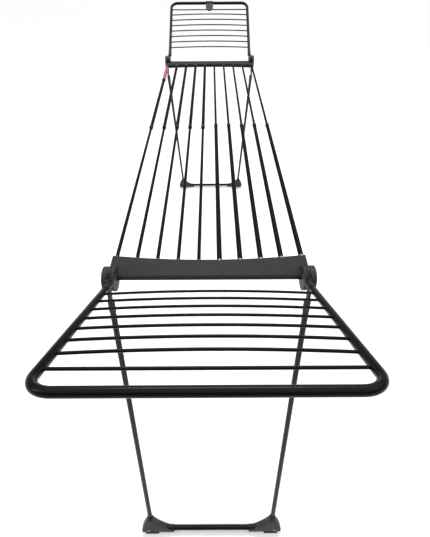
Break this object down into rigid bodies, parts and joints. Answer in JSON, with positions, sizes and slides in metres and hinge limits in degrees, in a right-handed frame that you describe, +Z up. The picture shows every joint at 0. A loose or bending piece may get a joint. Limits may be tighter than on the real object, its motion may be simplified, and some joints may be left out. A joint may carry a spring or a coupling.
{
  "type": "folding clothes airer",
  "caption": "Free-standing folding clothes airer: telescopic rod bed between two moulded bars, hinged end wings and splayed folding leg frames.",
  "frame": {"origin": "on the floor, midway between the feet across the width and midway between the ends", "axes": "+X across the rods to the right, +Y along the bed to the far end, which slides in, +Z up"},
  "size_m": [0.544, 2.565, 1.3197],
  "materials": {
    "grey_plastic": "satin moulded plastic",
    "black_plastic": "satin moulded plastic",
    "grey_tube": "satin powder coat",
    "black_tube": "satin powder coat",
    "red_grip": "satin moulded plastic",
    "red_plug": "satin moulded plastic",
    "foot_rubber": "matt rubber",
    "pin_steel": "zinc plated",
    "ferrule_steel": "brushed"
  },
  "bodies": {
    "near_frame": {"near_bar_cover": "grey_plastic", "near_bar_tray": "black_plastic", "near_bar_screws": "pin_steel", "near_cheeks": "grey_plastic", "near_drums": "grey_plastic", "near_axles": "pin_steel", "near_leg_pins": "pin_steel", "near_outer_tubes": "black_tube", "near_inner_rods": "black_tube", "near_tube_collars": "black_plastic", "near_glides": "black_plastic", "near_ferrules": "ferrule_steel"},
    "far_frame": {"far_bar_cover": "grey_plastic", "far_bar_tray": "black_plastic", "far_bar_screws": "pin_steel", "far_cheeks": "grey_plastic", "far_drums": "grey_plastic", "far_axles": "pin_steel", "far_leg_pins": "pin_steel", "far_outer_tubes": "black_tube", "far_inner_rods": "black_tube", "far_tube_collars": "black_plastic", "far_glides": "black_plastic", "far_ferrules": "ferrule_steel", "grip_stop": "black_plastic"},
    "lock_grip": {"lock_grip": "red_grip"},
    "near_wing": {"near_wing_tube": "black_tube", "near_wing_rods": "black_tube", "near_wing_hubs": "grey_plastic"},
    "far_wing": {"far_wing_tube": "black_tube", "far_wing_rods": "black_tube", "far_wing_hubs": "grey_plastic"},
    "wing_clip": {"wing_clip": "black_plastic"},
    "near_leg": {"near_leg_hubs": "grey_plastic", "near_leg_tubes": "grey_tube", "near_leg_collars": "black_plastic", "near_foot_bar": "black_tube", "near_foot_sleeves": "black_plastic", "near_feet": "grey_plastic", "near_foot_pads": "foot_rubber", "near_foot_plugs": "red_plug"},
    "far_leg": {"far_leg_hubs": "grey_plastic", "far_leg_tubes": "grey_tube", "far_leg_collars": "black_plastic", "far_foot_bar": "black_tube", "far_foot_sleeves": "black_plastic", "far_feet": "grey_plastic", "far_foot_pads": "foot_rubber", "far_foot_plugs": "red_plug"}
  },
  "joints": [
    {"name": "bed_slide", "type": "slide", "parent": "near_frame", "child": "far_frame", "axis": [0, 1, 0], "range_m": [-0.6, 0]},
    {"name": "near_wing_fold", "type": "hinge", "parent": "near_frame", "child": "near_wing", "pos_m": [0, -0.875, 1.0964], "axis": [1, 0, 0], "range_deg": [-151, 29]},
    {"name": "far_wing_fold", "type": "hinge", "parent": "far_frame", "child": "far_wing", "pos_m": [0, 0.875, 1.0964], "axis": [1, 0, 0], "range_deg": [-29, 151]},
    {"name": "near_leg_fold", "type": "hinge", "parent": "near_frame", "child": "near_leg", "pos_m": [0, -0.88277, 1.0646], "axis": [1, 0, 0], "range_deg": [0, 108.3]},
    {"name": "far_leg_fold", "type": "hinge", "parent": "far_frame", "child": "far_leg", "pos_m": [0, 0.89021, 1.0421], "axis": [1, 0, 0], "range_deg": [-108.3, 0]},
    {"name": "clip_turn", "type": "hinge", "parent": "far_wing", "child": "wing_clip", "pos_m": [0, 1.27297, 1.3087], "axis": [1, 0, 0], "range_deg": [-120, 0]},
    {"name": "grip_turn", "type": "hinge", "parent": "far_frame", "child": "lock_grip", "pos_m": [-0.2448, 0.674, 1.0859], "axis": [0, 1, 0], "range_deg": [0, 60]}
  ]
}
